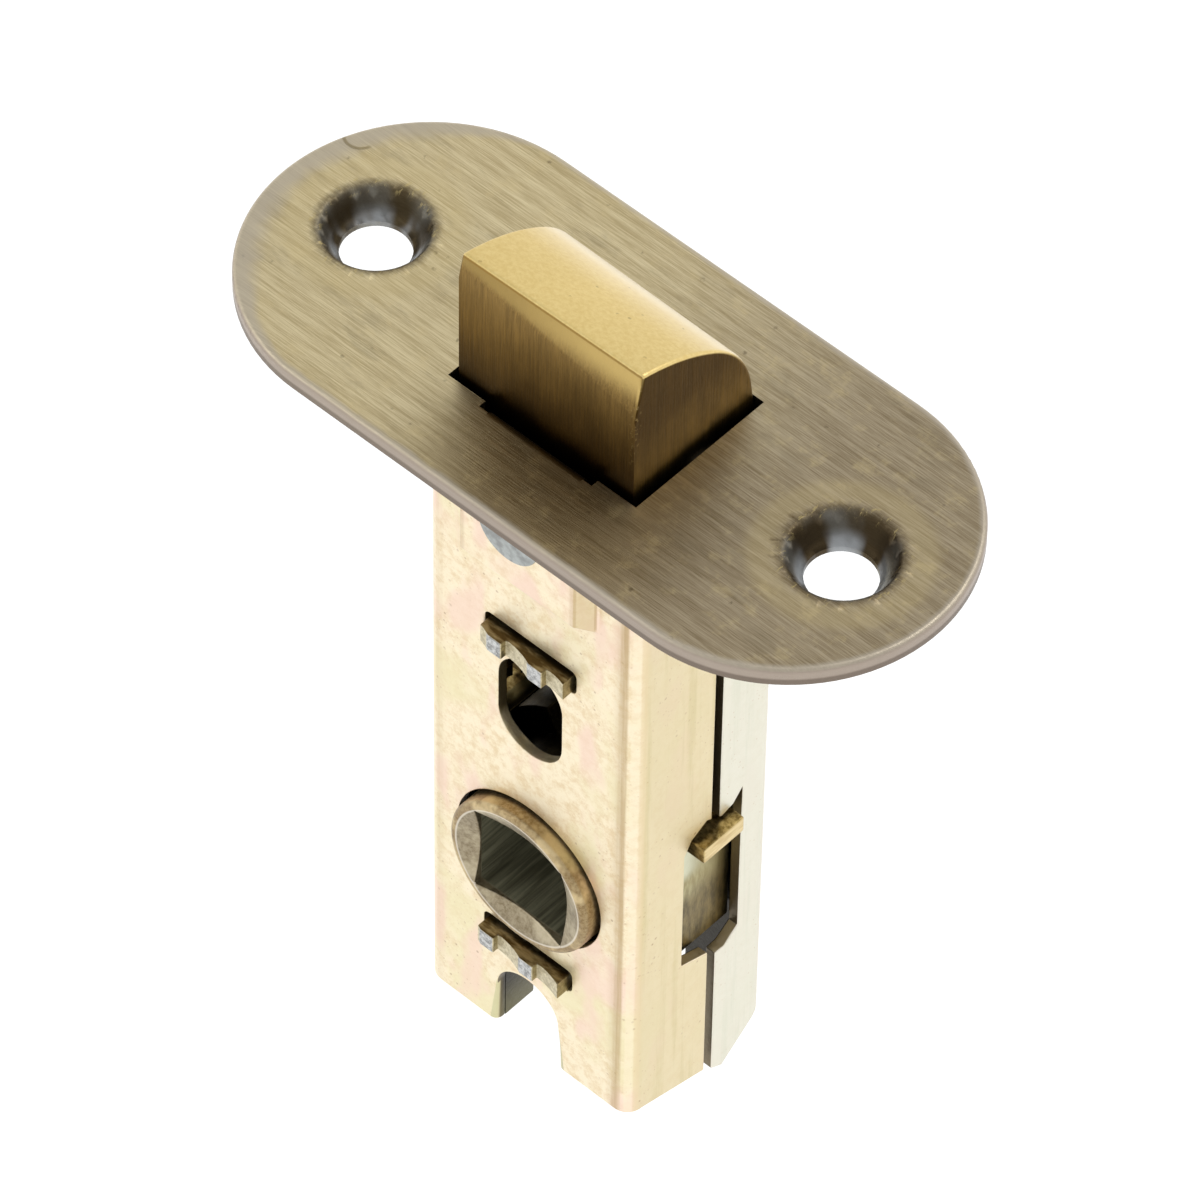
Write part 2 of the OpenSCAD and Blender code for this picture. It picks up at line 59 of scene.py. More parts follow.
# Mesh work, in millimetres: welding, the rolled notch edge and the folds' free edges
SAME_PLACE = 0.002
ROLL_R = 0.6
ROLL_SEGMENTS = 5
FOLD_EDGE_R = 0.15

# Mesh work, in degrees: faces merged as flat, edges shaded smooth, edges bevelled as sharp
SAME_PLANE = 0.3
SMOOTH_BELOW = 32.0
SHARP_ABOVE = 38.0

# Farther than any part of the latch, the floor's height, and the strongest weight of large faces
EVERYWHERE = 200.0
FLOOR_Z = -120.0
FACE_WEIGHT = 100

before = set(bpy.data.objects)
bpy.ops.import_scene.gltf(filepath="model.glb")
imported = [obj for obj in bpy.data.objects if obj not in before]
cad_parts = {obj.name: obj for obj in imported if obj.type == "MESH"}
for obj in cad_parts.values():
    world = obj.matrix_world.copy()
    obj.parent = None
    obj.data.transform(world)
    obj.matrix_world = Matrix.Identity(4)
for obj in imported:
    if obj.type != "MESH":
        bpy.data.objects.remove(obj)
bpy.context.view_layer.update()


class Slot(Enum):
    """Material slots of the record."""

    FOREND = "forend"
    BOLT = "bolt"
    CASE_FRONT = "case_front"
    CASE_REAR = "case_rear"
    FOLLOWER = "follower"
    RAW_STEEL = "raw_steel"
    PLATED_STEEL = "plated_steel"


class Body(Enum):
    """Bodies of the record that pieces ride on."""

    CASE = "case"
    BOLT = "bolt"
    FOLLOWER = "follower"


def linear(red: float, green: float, blue: float) -> tuple[float, float, float, float]:
    """Turns an 8-bit display colour into linear light.

    Args:
        red: Red from 0 to 255.
        green: Green from 0 to 255.
        blue: Blue from 0 to 255.

    Returns:
        The colour as linear red, green, blue and an alpha of 1.
    """
    def channel(value: float) -> float:
        """Turns one channel into linear light."""
        share = value / 255
        return share / 12.92 if share <= 0.04045 else ((share + 0.055) / 1.055) ** 2.4
    return channel(red), channel(green), channel(blue), 1.0


class Graph:
    """Adds nodes to one shader tree and returns their sockets."""

    def __init__(self, tree: bpy.types.NodeTree) -> None:
        """Keeps the material's or group's node tree."""
        self.tree = tree

    def add(self, kind: str, inputs: dict | None = None, **settings: object) -> bpy.types.Node:
        """Adds one node.

        Args:
            kind: Blender's node type.
            inputs: Input socket, by name or place, to a value or another socket.
            **settings: The node's own settings.

        Returns:
            The new node.
        """
        node = self.tree.nodes.new(kind)
        for key, value in settings.items():
            setattr(node, key, value)
        for key, value in (inputs or {}).items():
            socket = node.inputs[key]
            if isinstance(value, bpy.types.NodeSocket):
                self.tree.links.new(value, socket)
            else:
                socket.default_value = value
        return node

    def math(self, operation: str, a: object, b: object = 0.0) -> bpy.types.NodeSocket:
        """Adds the calculation that Blender names operation, of two values or sockets."""
        return self.add("ShaderNodeMath", {0: a, 1: b}, operation=operation).outputs[0]

    def step(self, value: object, low: float, high: float) -> bpy.types.NodeSocket:
        """Rises smoothly from 0 at low to 1 at high, where low may be the larger number."""
        inputs = {"Value": value, "From Min": low, "From Max": high}
        return self.add("ShaderNodeMapRange", inputs, interpolation_type="SMOOTHSTEP").outputs[0]

    def band(self, value: object, middle: float, half: float, soft: float) -> bpy.types.NodeSocket:
        """Is 1 up to half away from the middle value, then falls to 0 over the width soft."""
        away = self.math("ABSOLUTE", self.math("SUBTRACT", value, middle))
        return self.step(away, half + soft, half)

    def both(self, *masks: object) -> object:
        """Multiplies masks, so the result is high only where all of them are.

        Args:
            *masks: Sockets or plain numbers.

        Returns:
            The product.
        """
        result = masks[0]
        for mask in masks[1:]:
            result = self.math("MULTIPLY", result, mask)
        return result

    def mix(self, share: object, a: object, b: object) -> bpy.types.NodeSocket:
        """Mixes two colours, where share is how much of b there is."""
        return self.add("ShaderNodeMix", {0: share, 6: a, 7: b}, data_type="RGBA").outputs[2]

    def noise(self, vector: object, scale: float, detail: float = 2.0,
              rough: float = 0.5) -> bpy.types.NodeSocket:
        """Adds noise of about 0.5 on average, with detail finer layers of the strength rough."""
        inputs = {"Vector": vector, "Scale": scale, "Detail": detail, "Roughness": rough}
        return self.add("ShaderNodeTexNoise", inputs).outputs[0]

    def stretch(self, vector: object, factors: tuple[float, float, float]) -> bpy.types.NodeSocket:
        """Multiplies a vector by one factor per axis."""
        return self.add("ShaderNodeVectorMath", {0: vector, 1: factors}, operation="MULTIPLY").outputs[0]

    def group(self, tree: bpy.types.NodeTree, inputs: dict) -> bpy.types.Node:
        """Adds a node group with its inputs set or joined."""
        return self.add("ShaderNodeGroup", inputs, node_tree=tree)


def new_group(name: str, inputs: dict[str, str],
              outputs: dict[str, str]) -> tuple[Graph, dict, bpy.types.Node]:
    """Starts a shader node group.

    Args:
        name: The group's name.
        inputs: Input names to socket types.
        outputs: Output names to socket types.

    Returns:
        A graph for the group, its input sockets by name, and its output node.
    """
    tree = bpy.data.node_groups.new(name, "ShaderNodeTree")
    for key, kind in inputs.items():
        tree.interface.new_socket(key, in_out="INPUT", socket_type=kind)
    for key, kind in outputs.items():
        tree.interface.new_socket(key, in_out="OUTPUT", socket_type=kind)
    source = tree.nodes.new("NodeGroupInput")
    sink = tree.nodes.new("NodeGroupOutput")
    return Graph(tree), {key: source.outputs[key] for key in inputs}, sink


FLOAT = "NodeSocketFloat"
VECTOR = "NodeSocketVector"
COLOUR = "NodeSocketColor"


def brushing_group() -> bpy.types.NodeTree:
    """Makes the shared pattern of brush lines: fine hairlines over faint wider streaks.

    Returns:
        The node group, whose input vector runs slowly along the lines.
    """
    graph, source, sink = new_group("brushing", {"Vector": VECTOR}, {"Lines": FLOAT})
    wide = graph.noise(source["Vector"], 0.5, 2, 0.5)
    fine = graph.noise(source["Vector"], 3.2, 3, 0.75)
    total = graph.math("ADD", graph.both(wide, 0.3), graph.both(fine, 0.7))
    graph.tree.links.new(graph.step(total, 0.34, 0.66), sink.inputs["Lines"])
    return graph.tree


def speckle_group() -> bpy.types.NodeTree:
    """Makes the shared pattern of small irregular specks.

    Returns:
        The node group, with an amount from 0 to 1.
    """
    inputs = {"Vector": VECTOR, "Scale": FLOAT, "Amount": FLOAT}
    graph, source, sink = new_group("speckle", inputs, {"Specks": FLOAT})
    cells = graph.add("ShaderNodeTexVoronoi", {"Vector": source["Vector"], "Scale": source["Scale"]})
    core = graph.step(cells.outputs["Distance"], 0.26, 0.1)
    chosen = graph.math("GREATER_THAN", source["Amount"],
                        graph.add("ShaderNodeSeparateColor", {0: cells.outputs["Color"]}).outputs[0])
    broken = graph.step(graph.noise(source["Vector"], 3.0, 2), 0.4, 0.6)
    graph.tree.links.new(graph.both(core, chosen, broken), sink.inputs["Specks"])
    return graph.tree


def passivate_group() -> bpy.types.NodeTree:
    """Makes the shared colours of passivated zinc: a fine mottle that drifts to green and pink.

    Returns:
        The node group.
    """
    inputs = {"Vector": VECTOR, "Light": COLOUR, "Tan": COLOUR, "Green": COLOUR, "Pink": COLOUR}
    graph, source, sink = new_group("passivate", inputs, {"Color": COLOUR})
    clouds = graph.noise(source["Vector"], 0.11, 3, 0.55)
    blush = graph.noise(graph.stretch(source["Vector"], (1.0, 1.0, 0.4)), 0.27, 2, 0.6)
    mottle = graph.noise(source["Vector"], 1.2, 5, 0.75)
    tinted = graph.mix(graph.step(mottle, 0.4, 0.68), source["Light"], source["Tan"])
    tinted = graph.mix(graph.both(graph.step(clouds, 0.5, 0.66), 0.7), tinted, source["Green"])
    tinted = graph.mix(graph.both(graph.step(blush, 0.52, 0.66), 0.7), tinted, source["Pink"])
    graph.tree.links.new(tinted, sink.inputs["Color"])
    return graph.tree


@dataclass(frozen=True)
class Kit:
    """Node groups that the finishes share."""

    brushing: bpy.types.NodeTree
    speckle: bpy.types.NodeTree
    passivate: bpy.types.NodeTree


@dataclass(frozen=True)
class Metal:
    """Uniform values of one metal finish."""

    name: str
    metallic: float
    roughness: float
    anisotropic: float = 0.0


@dataclass
class Paint:
    """A material under construction: its graph, its place and its normal."""

    material: bpy.types.Material
    graph: Graph
    shader: bpy.types.Node
    place: bpy.types.NodeSocket
    x: bpy.types.NodeSocket
    y: bpy.types.NodeSocket
    z: bpy.types.NodeSocket
    nx: bpy.types.NodeSocket
    ny: bpy.types.NodeSocket
    nz: bpy.types.NodeSocket
    tone: object = None

    def lay(self, share: object, colour: object) -> None:
        """Lays a colour over what is there, as strongly as share says, and joins it to the shader."""
        self.tone = self.graph.mix(share, self.tone, colour)
        self.graph.tree.links.new(self.tone, self.shader.inputs["Base Color"])

    def specks(self, kit: Kit, scale: float, amount: float, strength: object, colour: tuple) -> None:
        """Lays small specks of a colour.

        Args:
            kit: The shared node groups.
            scale: Specks per millimetre.
            amount: Share of the specks that show, from 0 to 1.
            strength: How strongly they show, as a number or mask.
            colour: Their colour.
        """
        inputs = {"Vector": self.place, "Scale": scale, "Amount": amount}
        found = self.graph.group(kit.speckle, inputs).outputs[0]
        self.lay(self.graph.both(found, strength), colour)

    def roughness(self, socket: bpy.types.NodeSocket) -> None:
        """Joins a roughness to the shader."""
        self.graph.tree.links.new(socket, self.shader.inputs["Roughness"])

    def metal(self, socket: bpy.types.NodeSocket) -> None:
        """Joins a share of bare metal to the shader."""
        self.graph.tree.links.new(socket, self.shader.inputs["Metallic"])

    def bump(self, height: bpy.types.NodeSocket, depth: float) -> None:
        """Joins a relief to the shader, whose height of 1 is depth millimetres."""
        node = self.graph.add("ShaderNodeBump", {"Height": height, "Distance": depth * MM, "Strength": 1.0})
        self.graph.tree.links.new(node.outputs[0], self.shader.inputs["Normal"])


def start_paint(metal: Metal) -> Paint:
    """Starts a material whose places are in millimetres of the row frame.

    Args:
        metal: The finish's uniform values.

    Returns:
        The material under construction.
    """
    material = bpy.data.materials.new(metal.name)
    material.use_nodes = True
    graph = Graph(material.node_tree)
    shader = material.node_tree.nodes["Principled BSDF"]
    shader.inputs["Metallic"].default_value = metal.metallic
    shader.inputs["Roughness"].default_value = metal.roughness
    shader.inputs["Anisotropic"].default_value = metal.anisotropic
    coordinates = graph.add("ShaderNodeTexCoord")
    place = graph.stretch(coordinates.outputs["Object"], (1 / MM, 1 / MM, 1 / MM))
    parts = graph.add("ShaderNodeSeparateXYZ", {0: place}).outputs
    facing = graph.add("ShaderNodeSeparateXYZ", {0: coordinates.outputs["Normal"]}).outputs
    return Paint(material, graph, shader, place, *parts, *facing)


def radius_from(graph: Graph, a: object, b: object, centre: tuple[float, float]) -> bpy.types.NodeSocket:
    """Measures the distance from a line along the third axis.

    Args:
        graph: Where the nodes go.
        a: First coordinate.
        b: Second coordinate.
        centre: Where the line crosses those two coordinates.

    Returns:
        The distance's socket, in millimetres.
    """
    da = graph.math("SUBTRACT", a, centre[0])
    db = graph.math("SUBTRACT", b, centre[1])
    return graph.math("SQRT", graph.math("ADD", graph.both(da, da), graph.both(db, db)))


# Centre of a painted shade on the forend beside the bolt, then the place and radius of a small
# crescent-shaped dent
SHADE_POOL_CENTRE = (4.0, -11.5)
CRESCENT = (-27.15, 5.3)
CRESCENT_R = 1.15


def forend_finish(kit: Kit) -> bpy.types.Material:
    """Makes antique brass plating, brushed along X, with patina and painted shade in the pressed screw holes
    and painted shade beside the bolt.

    Args:
        kit: The shared node groups.

    Returns:
        The material.
    """
    paint = start_paint(Metal("antique_brass", 1.0, 0.36, 0.5))
    graph = paint.graph
    far = graph.math("ABSOLUTE", paint.x)
    lines = graph.group(kit.brushing, {"Vector": graph.stretch(paint.place, (0.09, 3.2, 3.2))}).outputs[0]
    # Brushed tone that turns darker towards +X
    darker_to_plus_x = graph.math("ADD", paint.x, graph.both(graph.noise(paint.place, 0.08, 2), 10.0))
    darker_to_plus_x = graph.step(darker_to_plus_x, -8.0, 22.0)
    light = graph.mix(darker_to_plus_x, linear(230, 214, 172), linear(184, 169, 142))
    dark = graph.mix(darker_to_plus_x, linear(186, 168, 126), linear(138, 122, 94))
    paint.tone = graph.mix(lines, dark, light)
    # Painted shade on the forend on the near side of the bolt
    painted_shade_pool = graph.step(radius_from(graph, paint.x, paint.y, SHADE_POOL_CENTRE), 15.0, 2.0)
    paint.lay(graph.both(painted_shade_pool, 0.8), graph.mix(lines, linear(112, 95, 64), linear(148, 131, 98)))
    blotch = graph.step(graph.noise(paint.place, 0.5, 4, 0.7), 0.5, 0.72)
    paint.lay(graph.both(blotch, 0.3), linear(222, 202, 152))
    stain = graph.step(graph.noise(graph.stretch(paint.place, (0.7, 1.6, 1)), 0.25, 4, 0.65), 0.52, 0.68)
    paint.lay(graph.both(stain, 0.25), linear(130, 119, 96))
    paint.specks(kit, 1.1, 0.09, 0.5, linear(80, 66, 42))
    beyond = graph.math("MAXIMUM", graph.math("SUBTRACT", far, END_X), 0.0)
    out = graph.math("SUBTRACT", PLATE_R, radius_from(graph, beyond, paint.y, (0, 0)))
    wide = graph.math("ADD", graph.both(graph.step(paint.x, -17, -26), 1.3), 0.5)
    ragged = graph.both(graph.noise(paint.place, 0.5, 3), 0.7)
    worn = graph.math("ADD", graph.math("DIVIDE", out, wide), ragged)
    paint.lay(graph.both(graph.step(worn, 1.7, 0.8), 0.7), linear(192, 182, 166))
    near = radius_from(graph, far, paint.y, (SCREW_X, 0))
    torn = graph.noise(graph.stretch(paint.place, (1, 1, 0.3)), 1.5, 4, 0.75)
    halo = graph.band(near, 5.4, 0.3, 1.2)
    paint.lay(graph.both(halo, 0.25), linear(214, 194, 140))
    edge = graph.math("ADD", near, graph.both(torn, 0.7))
    inside = graph.step(edge, 5.0, 4.0)
    # Patina in the pressed screw holes, darkened further as painted shade
    gleam = graph.noise(graph.stretch(paint.place, (1.0, 1.0, 0.1)), 0.36, 2)
    patina_and_shade = graph.mix(graph.step(gleam, 0.42, 0.66), linear(66, 54, 36), linear(108, 106, 100))
    patina_and_shade = graph.mix(graph.step(near, 3.6, 4.4), patina_and_shade, linear(84, 70, 46))
    paint.lay(graph.both(inside, 0.94), patina_and_shade)
    scrape = graph.noise(graph.stretch(paint.place, (1.6, 0.5, 0.3)), 1.5, 4, 0.75)
    flecks = graph.both(graph.step(scrape, 0.56, 0.64), graph.band(near, 4.1, 0.2, 0.5))
    paint.lay(graph.both(flecks, 0.55), linear(206, 186, 128))
    toe = graph.both(graph.step(near, 3.3, 2.8), graph.step(gleam, 0.4, 0.6), 0.7)
    paint.lay(toe, linear(176, 180, 184))
    rim = graph.both(graph.step(out, 0.45, 0.2), graph.step(paint.nz, 0.8, 0.4))
    sheared = graph.mix(graph.step(paint.z, -1.0, -0.75), linear(112, 98, 88), linear(166, 152, 140))
    paint.lay(graph.both(rim, 0.85), sheared)
    under = graph.step(paint.nz, -0.4, -0.8)
    paint.lay(graph.both(under, 0.6), linear(150, 136, 100))
    dent = radius_from(graph, paint.x, paint.y, CRESCENT)
    crescent = graph.both(graph.band(dent, CRESCENT_R, 0.05, 0.14), graph.step(paint.y, 5.2, 4.8))
    paint.lay(graph.both(crescent, 0.6), linear(128, 112, 72))
    shine = graph.math("SUBTRACT", 0.42, graph.both(lines, 0.1))
    paint.roughness(graph.math("ADD", shine, graph.both(inside, 0.12)))
    flat = graph.math("SUBTRACT", 1.0, inside)
    relief = graph.math("SUBTRACT", graph.both(lines, flat), graph.both(crescent, 5.0))
    paint.bump(relief, 0.008)
    return paint.material


def bolt_finish(kit: Kit) -> bpy.types.Material:
    """Makes a brass-plated casting: golden where the plating is worn bright, with a painted highlight on its
    far top edge, brown on its brushed sides, and painted shade towards the forend and on its ridge.

    Args:
        kit: The shared node groups.

    Returns:
        The material.
    """
    paint = start_paint(Metal("plated_bolt", 1.0, 0.36, 0.3))
    graph = paint.graph
    lines = graph.group(kit.brushing, {"Vector": graph.stretch(paint.place, (2.4, 2.4, 0.09))}).outputs[0]
    grain = graph.noise(paint.place, 2.4, 5, 0.7)
    clouds = graph.both(graph.noise(paint.place, 0.3, 2), 4.0)
    high = graph.math("ADD", paint.z, clouds)
    slope = graph.step(paint.nz, 0.1, 0.5)
    end = graph.step(paint.nx, 0.5, 0.8)
    # Brown that darkens towards the forend: painted shade where the bolt rises from the plate
    paint.tone = graph.mix(graph.step(high, 1.5, 13.5), linear(74, 53, 18), linear(160, 130, 74))
    # End face in olive brown: a painted reflection of the dark forend
    olive_reflection = graph.mix(graph.step(high, 2.5, 9.0), linear(150, 124, 70), linear(98, 75, 36))
    paint.lay(end, olive_reflection)
    paint.lay(graph.both(graph.math("SUBTRACT", 1.0, lines), 0.42), linear(52, 38, 16))
    # Painted shade, near black, at the bolt's foot
    paint.lay(graph.both(graph.step(high, 4.4, 1.0), 0.85), linear(22, 16, 7))
    bevel = graph.both(graph.step(paint.nz, 0.06, 0.2), graph.step(paint.ny, -0.7, -0.9),
                       graph.math("ADD", 0.75, graph.both(clouds, 0.08)))
    left = graph.mix(graph.step(paint.x, -7, 7), linear(160, 134, 78), linear(204, 176, 110))
    paint.lay(bevel, left)
    # Gold on the top faces, with a painted highlight in cream where they turn to the far side
    sand = graph.noise(paint.place, 3.0, 4, 0.7)
    gold_and_highlight = graph.mix(graph.step(sand, 0.3, 0.7), linear(228, 200, 130), linear(238, 213, 146))
    gold_and_highlight = graph.mix(graph.step(paint.ny, 0.45, 0.8), gold_and_highlight, linear(248, 234, 204))
    paint.lay(graph.both(slope, graph.step(paint.ny, -0.8, -0.5)), gold_and_highlight)
    paint.specks(kit, 1.4, 0.16, graph.both(slope, 0.5), linear(150, 118, 62))
    corner = graph.both(graph.step(paint.x, 7.0, 7.6), graph.step(paint.y, -5.0, -5.7))
    bright = graph.step(graph.noise(paint.place, 2.6, 4, 0.8), 0.56, 0.64)
    paint.lay(graph.both(corner, bright, graph.step(high, 4.5, 8.0), 0.6), linear(226, 204, 150))
    # Painted shade on the rounded ridge between the top and the nose bevel
    crest = graph.both(graph.band(paint.nz, 0.5, 0.1, 0.2), graph.step(paint.ny, -0.5, -0.7))
    paint.lay(graph.both(crest, 0.7), linear(150, 118, 62))
    paint.roughness(graph.math("ADD", graph.both(grain, 0.2), 0.28))
    brushed = graph.both(lines, graph.math("SUBTRACT", 1.0, slope))
    paint.bump(graph.math("ADD", brushed, graph.both(grain, slope, 2.2)), 0.012)
    return paint.material


@dataclass(frozen=True)
class Zinc:
    """Colours of one passivated shell, where the narrow sides' colour and the bends' colour are painted
    shade.
    """

    name: str
    light: tuple
    tan: tuple
    green: tuple
    pink: tuple
    side: tuple
    drawn: tuple
    # Painted shade of the bends and of the raised panel's edges
    bend: tuple
    speckles: float


FRONT_ZINC = Zinc("yellow_zinc", linear(250, 236, 206), linear(234, 212, 172), linear(238, 228, 184),
                  linear(246, 216, 198), linear(224, 208, 166), linear(196, 180, 116),
                  linear(190, 162, 118), 0.5)
REAR_ZINC = Zinc("pale_zinc", linear(238, 234, 220), linear(224, 218, 198), linear(226, 228, 208),
                 linear(234, 222, 208), linear(230, 226, 208), linear(208, 210, 188),
                 linear(196, 188, 164), 0.12)


def shell_finish(kit: Kit, zinc: Zinc) -> bpy.types.Material:
    """Makes passivated zinc on folded sheet: mottled faces, with narrow sides, tan bends, panel edges, dark
    cut edges and inside as painted shade, and painted highlights on bends, cut edges and the raised panel.

    Args:
        kit: The shared node groups.
        zinc: The shell's colours.

    Returns:
        The material.
    """
    paint = start_paint(Metal(zinc.name, 0.85, 0.36))
    graph = paint.graph
    far_x = graph.math("ABSOLUTE", paint.x)
    far_y = graph.math("ABSOLUTE", paint.y)
    turn = graph.math("ABSOLUTE", paint.nx)
    inputs = {"Vector": paint.place, "Light": zinc.light, "Tan": zinc.tan, "Green": zinc.green,
              "Pink": zinc.pink}
    paint.tone = graph.group(kit.passivate, inputs).outputs[0]
    # Narrow sides in the side colour, a painted shade darker than the faces
    narrow = graph.step(turn, 0.8, 0.98)
    paint.lay(graph.both(narrow, 0.8), zinc.side)
    drawn = graph.noise(graph.stretch(paint.place, (1.0, 1.1, 0.045)), 0.8, 4, 0.65)
    paint.lay(graph.both(narrow, graph.step(drawn, 0.5, 0.66), 0.28), zinc.drawn)
    blush = graph.both(graph.step(paint.z, -17, -9), graph.step(graph.noise(paint.place, 0.3, 2), 0.4, 0.6))
    paint.lay(graph.both(blush, 0.45), zinc.pink)
    freckled = graph.step(graph.noise(paint.place, 0.2, 2), 0.4, 0.6)
    paint.specks(kit, 1.6, zinc.speckles, graph.both(freckled, 0.6), linear(168, 128, 84))
    paint.specks(kit, 3.1, zinc.speckles, graph.both(freckled, 0.5), linear(186, 148, 104))
    # Painted shade along the folds, fading out towards -X, with bands of painted highlight and painted shade
    # across each fold's rounding
    outside = graph.step(far_x, 7.9, 8.2)
    before = graph.both(graph.step(far_x, 7.3, 8.35), graph.step(turn, 0.3, 0.1), graph.step(far_y, 6.8, 7.0),
                        graph.step(paint.x, -12, 4))
    uneven = graph.math("ADD", 0.35, graph.both(graph.step(drawn, 0.3, 0.7), 0.6))
    paint.lay(graph.both(before, 0.55, uneven), zinc.bend)
    crease = graph.band(turn, 0.16, 0.08, 0.16)
    paint.lay(graph.both(crease, outside, graph.step(paint.x, -14, 4), uneven), zinc.bend)
    paint.lay(graph.both(graph.band(turn, 0.66, 0.1, 0.12), outside, 0.5), zinc.light)
    paint.lay(graph.both(graph.band(turn, 0.9, 0.04, 0.06), outside, 0.5), zinc.tan)
    # Painted shade, near black, on the inside of the case
    shaded_inside = graph.both(graph.step(far_x, 8.95, 8.84), graph.step(far_y, 6.38, 6.24))
    paint.lay(shaded_inside, linear(34, 28, 13))
    # Raised panel: painted shade on its sloped sides and a painted reflection of the floor, near white, on
    # its downward faces
    raised = graph.step(far_y, 7.2, 7.36)
    flank = graph.both(raised, graph.step(turn, 0.2, 0.45))
    paint.lay(graph.both(flank, 0.45), zinc.drawn)
    paint.lay(graph.both(raised, graph.step(paint.nz, -0.25, -0.5), 0.8), linear(255, 250, 240))
    # Painted shade lines along the raised panel's foot and where its top turns down at the ends
    foot = graph.both(graph.band(far_y, 7.28, 0.04, 0.07), graph.step(paint.z, -13.8, -13.3))
    paint.lay(graph.both(foot, 0.6), zinc.bend)
    brow = graph.both(graph.band(far_y, 8.45, 0.03, 0.1), graph.step(far_x, 4.6, 4.9))
    paint.lay(graph.both(brow, 0.5), zinc.bend)
    # Cut edges of the sheet, painted dark as shade where they don't face up
    level = graph.math("ABSOLUTE", paint.ny)
    cut_wide = graph.both(graph.band(far_y, FACE_SHEET_Y, 0.36, 0.06), graph.step(level, 0.4, 0.2),
                          graph.step(far_x, 8.7, 8.5))
    cut_narrow = graph.both(graph.band(far_x, SIDE_SHEET_X, 0.36, 0.06), graph.step(turn, 0.4, 0.2),
                            graph.step(far_y, 6.0, 5.8))
    lower = graph.step(paint.nz, 0.55, 0.1)
    cut = graph.math("MAXIMUM", cut_wide, cut_narrow)
    paint.lay(graph.both(cut, lower, 0.9), linear(92, 76, 40))
    # Painted shade on the notch's turned edges and walls, darkest deepest in the case
    folded = graph.both(graph.step(far_y, 7.05, 6.2), graph.step(far_x, 4.2, 3.9), graph.step(turn, 0.3, 0.7),
                        graph.step(paint.z, -58.0, -58.4))
    paint.lay(folded, graph.mix(graph.step(paint.z, -60.0, -64.0), linear(40, 34, 18), linear(96, 90, 56)))
    # Painted sheen on the rolled edge of the notch
    rolled = graph.both(graph.step(far_x, 4.2, 3.9), graph.band(turn, 0.55, 0.3, 0.15),
                        graph.step(far_y, 6.2, 6.5),
                        graph.step(paint.z, -59.4, -59.8))
    paint.lay(graph.both(rolled, 0.7), linear(206, 204, 156))
    # Painted highlight on cut edges that face up
    paint.lay(graph.both(cut, graph.step(paint.nz, 0.1, 0.6), 0.5), linear(196, 178, 128))
    grain = graph.noise(paint.place, 1.7, 5, 0.72)
    paint.roughness(graph.math("ADD", graph.both(grain, 0.24), 0.24))
    paint.bump(grain, 0.035)
    return paint.material


def follower_finish(kit: Kit) -> bpy.types.Material:
    """Makes sintered steel: golden brown on the boss rims, greyer facets, a body dark as painted shade, and
    dark in the square hole, partly painted shade.

    Args:
        kit: The shared node groups; not used.

    Returns:
        The material.
    """
    paint = start_paint(Metal("sintered_steel", 0.95, 0.38))
    graph = paint.graph
    away = radius_from(graph, paint.x, paint.z, (0, SPINDLE_Z))
    depth = graph.math("ABSOLUTE", paint.y)
    grain = graph.noise(paint.place, 3.4, 4, 0.7)
    fine = graph.step(grain, 0.34, 0.66)
    worn = graph.step(graph.noise(paint.place, 0.35, 3, 0.6), 0.42, 0.6)
    # The hub's body is dark: painted shade inside the case
    paint.tone = graph.mix(fine, linear(44, 37, 22), linear(66, 57, 36))
    ring = graph.mix(worn, linear(136, 112, 76), linear(204, 182, 138))
    ring = graph.mix(graph.both(fine, 0.3), ring, linear(226, 206, 160))
    paint.lay(graph.step(depth, 6.0, 6.4), ring)
    facet = graph.mix(worn, linear(132, 118, 92), linear(182, 170, 142))
    facet = graph.mix(graph.both(fine, 0.35), facet, linear(208, 196, 170))
    mouth = graph.both(graph.step(away, 5.76, 5.66), graph.step(depth, 7.3, 7.5))
    paint.lay(mouth, facet)
    arris = graph.both(graph.band(away, 5.74, 0.03, 0.08), graph.step(depth, 8.0, 8.2))
    paint.lay(graph.both(arris, 0.7), linear(228, 220, 204))
    # Broach marks in the square hole in darker colours, partly painted shade
    broach = graph.noise(graph.stretch(paint.place, (1.0, 0.05, 1.0)), 1.6, 3, 0.7)
    inside = graph.mix(graph.step(broach, 0.36, 0.66), linear(74, 72, 54), linear(124, 122, 100))
    socket = graph.both(graph.step(away, 5.78, 5.7), graph.step(depth, 7.6, 7.4))
    paint.lay(socket, inside)
    paint.metal(graph.math("SUBTRACT", 0.95, graph.both(socket, 0.75)))
    paint.roughness(graph.math("ADD", graph.both(grain, 0.2), 0.28))
    paint.bump(grain, 0.025)
    return paint.material


